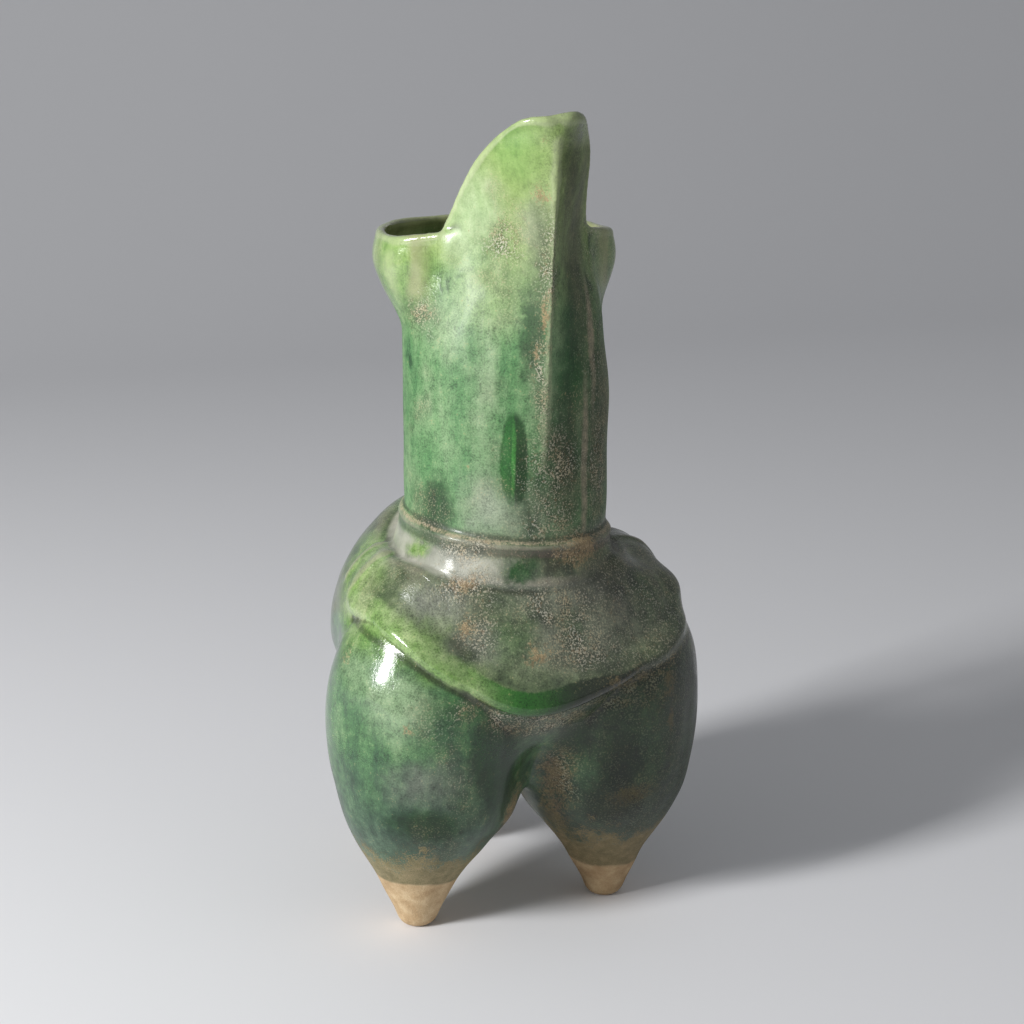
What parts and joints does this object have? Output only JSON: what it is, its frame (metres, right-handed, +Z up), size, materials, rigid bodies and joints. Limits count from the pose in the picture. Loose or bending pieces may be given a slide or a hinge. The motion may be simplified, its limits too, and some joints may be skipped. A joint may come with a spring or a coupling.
{
  "type": "tripod pitcher",
  "caption": "Green-glazed pottery pitcher on hollow pouch legs, with a tall folded beak spout, a cup lip behind it, a collared neck and a strap handle at the rear.",
  "frame": {"origin": "on the surface that the feet stand on, under the middle of the jug's width and depth", "axes": "+Z up along the neck, -Y towards the beak spout, +X to the right of a viewer who faces the spout"},
  "size_m": [0.142, 0.1446, 0.3],
  "materials": {
    "green_glaze": "glossy green lead glaze, pale on ridges and dark where it runs and pools",
    "weathered_glaze": "dull green-grey glaze with pale and orange-buff corrosion speckle",
    "bare_clay": "matt bare buff clay"
  },
  "bodies": {
    "root": {"neck_tube": "green_glaze", "spout": "green_glaze", "mouth_rim": "green_glaze", "collar_band": "weathered_glaze", "shoulder_shell": "weathered_glaze", "body_cordon": "green_glaze", "handle": "green_glaze", "left_flank_strap": "green_glaze", "right_flank_strap": "weathered_glaze", "front_left_leg": "green_glaze", "front_left_foot": "bare_clay", "front_right_leg": "green_glaze", "front_right_foot": "bare_clay", "rear_leg": "green_glaze", "rear_foot": "bare_clay"}
  },
  "joints": []
}
